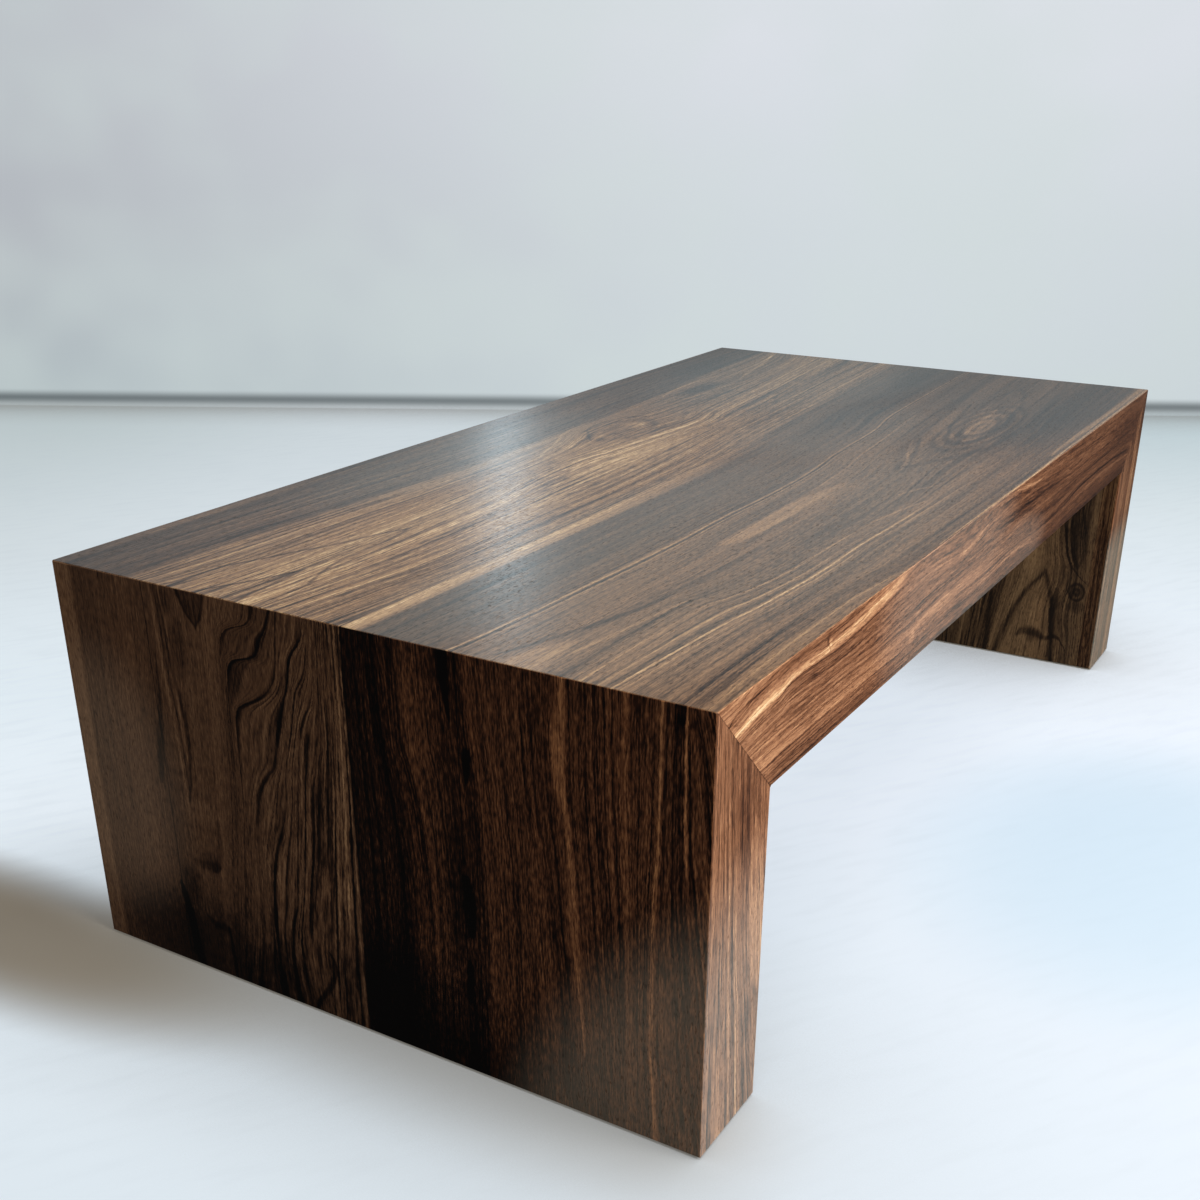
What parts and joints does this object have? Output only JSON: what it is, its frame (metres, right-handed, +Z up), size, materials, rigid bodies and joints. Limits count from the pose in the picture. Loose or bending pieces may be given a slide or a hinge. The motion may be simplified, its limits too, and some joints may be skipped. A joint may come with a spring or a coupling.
{
  "type": "coffee table",
  "caption": "Waterfall coffee table in walnut: a thick boxed top mitred to two full-width slab legs, with the grain running over the edges.",
  "frame": {"origin": "on the floor, under the middle of the table", "axes": "+X across the table, +Y along its length from the front leg to the rear leg, +Z up"},
  "size_m": [0.6096, 1.2192, 0.3556],
  "materials": {
    "walnut_outer": "satin oiled walnut with dark streaks and a pale sapwood strip",
    "walnut_side": "satin oiled walnut, warm red-brown with pale lines",
    "walnut_inner": "satin oiled walnut, dark brown with arched grain and knots",
    "core_wood": "planed, unfinished",
    "spline_wood": "birch plywood, unfinished",
    "glide_plastic": "moulded nylon",
    "screw_steel": "zinc plated"
  },
  "bodies": {
    "root": {"top_stave_1": "walnut_outer", "top_stave_2": "walnut_outer", "top_stave_3": "walnut_outer", "top_stave_4": "walnut_outer", "top_side_left": "walnut_side", "top_side_right": "walnut_side", "top_inner_board_1": "walnut_inner", "top_inner_board_2": "walnut_inner", "top_inner_board_3": "walnut_inner", "front_leg_stave_1": "walnut_outer", "front_leg_stave_2": "walnut_outer", "front_leg_stave_3": "walnut_outer", "front_leg_stave_4": "walnut_outer", "front_leg_side_left": "walnut_side", "front_leg_side_right": "walnut_side", "front_leg_inner_board_1": "walnut_inner", "front_leg_inner_board_2": "walnut_inner", "front_leg_inner_board_3": "walnut_inner", "rear_leg_stave_1": "walnut_outer", "rear_leg_stave_2": "walnut_outer", "rear_leg_stave_3": "walnut_outer", "rear_leg_stave_4": "walnut_outer", "rear_leg_side_left": "walnut_side", "rear_leg_side_right": "walnut_side", "rear_leg_inner_board_1": "walnut_inner", "rear_leg_inner_board_2": "walnut_inner", "rear_leg_inner_board_3": "walnut_inner", "front_corner_rail": "core_wood", "rear_corner_rail": "core_wood", "front_leg_rib": "core_wood", "rear_leg_rib": "core_wood", "front_leg_sole_rail": "core_wood", "rear_leg_sole_rail": "core_wood", "top_rib_1": "core_wood", "top_rib_2": "core_wood", "top_rib_3": "core_wood", "front_mitre_spline": "spline_wood", "rear_mitre_spline": "spline_wood", "glide_front_left": "glide_plastic", "glide_front_right": "glide_plastic", "glide_rear_left": "glide_plastic", "glide_rear_right": "glide_plastic", "glide_screws": "screw_steel"}
  },
  "joints": []
}
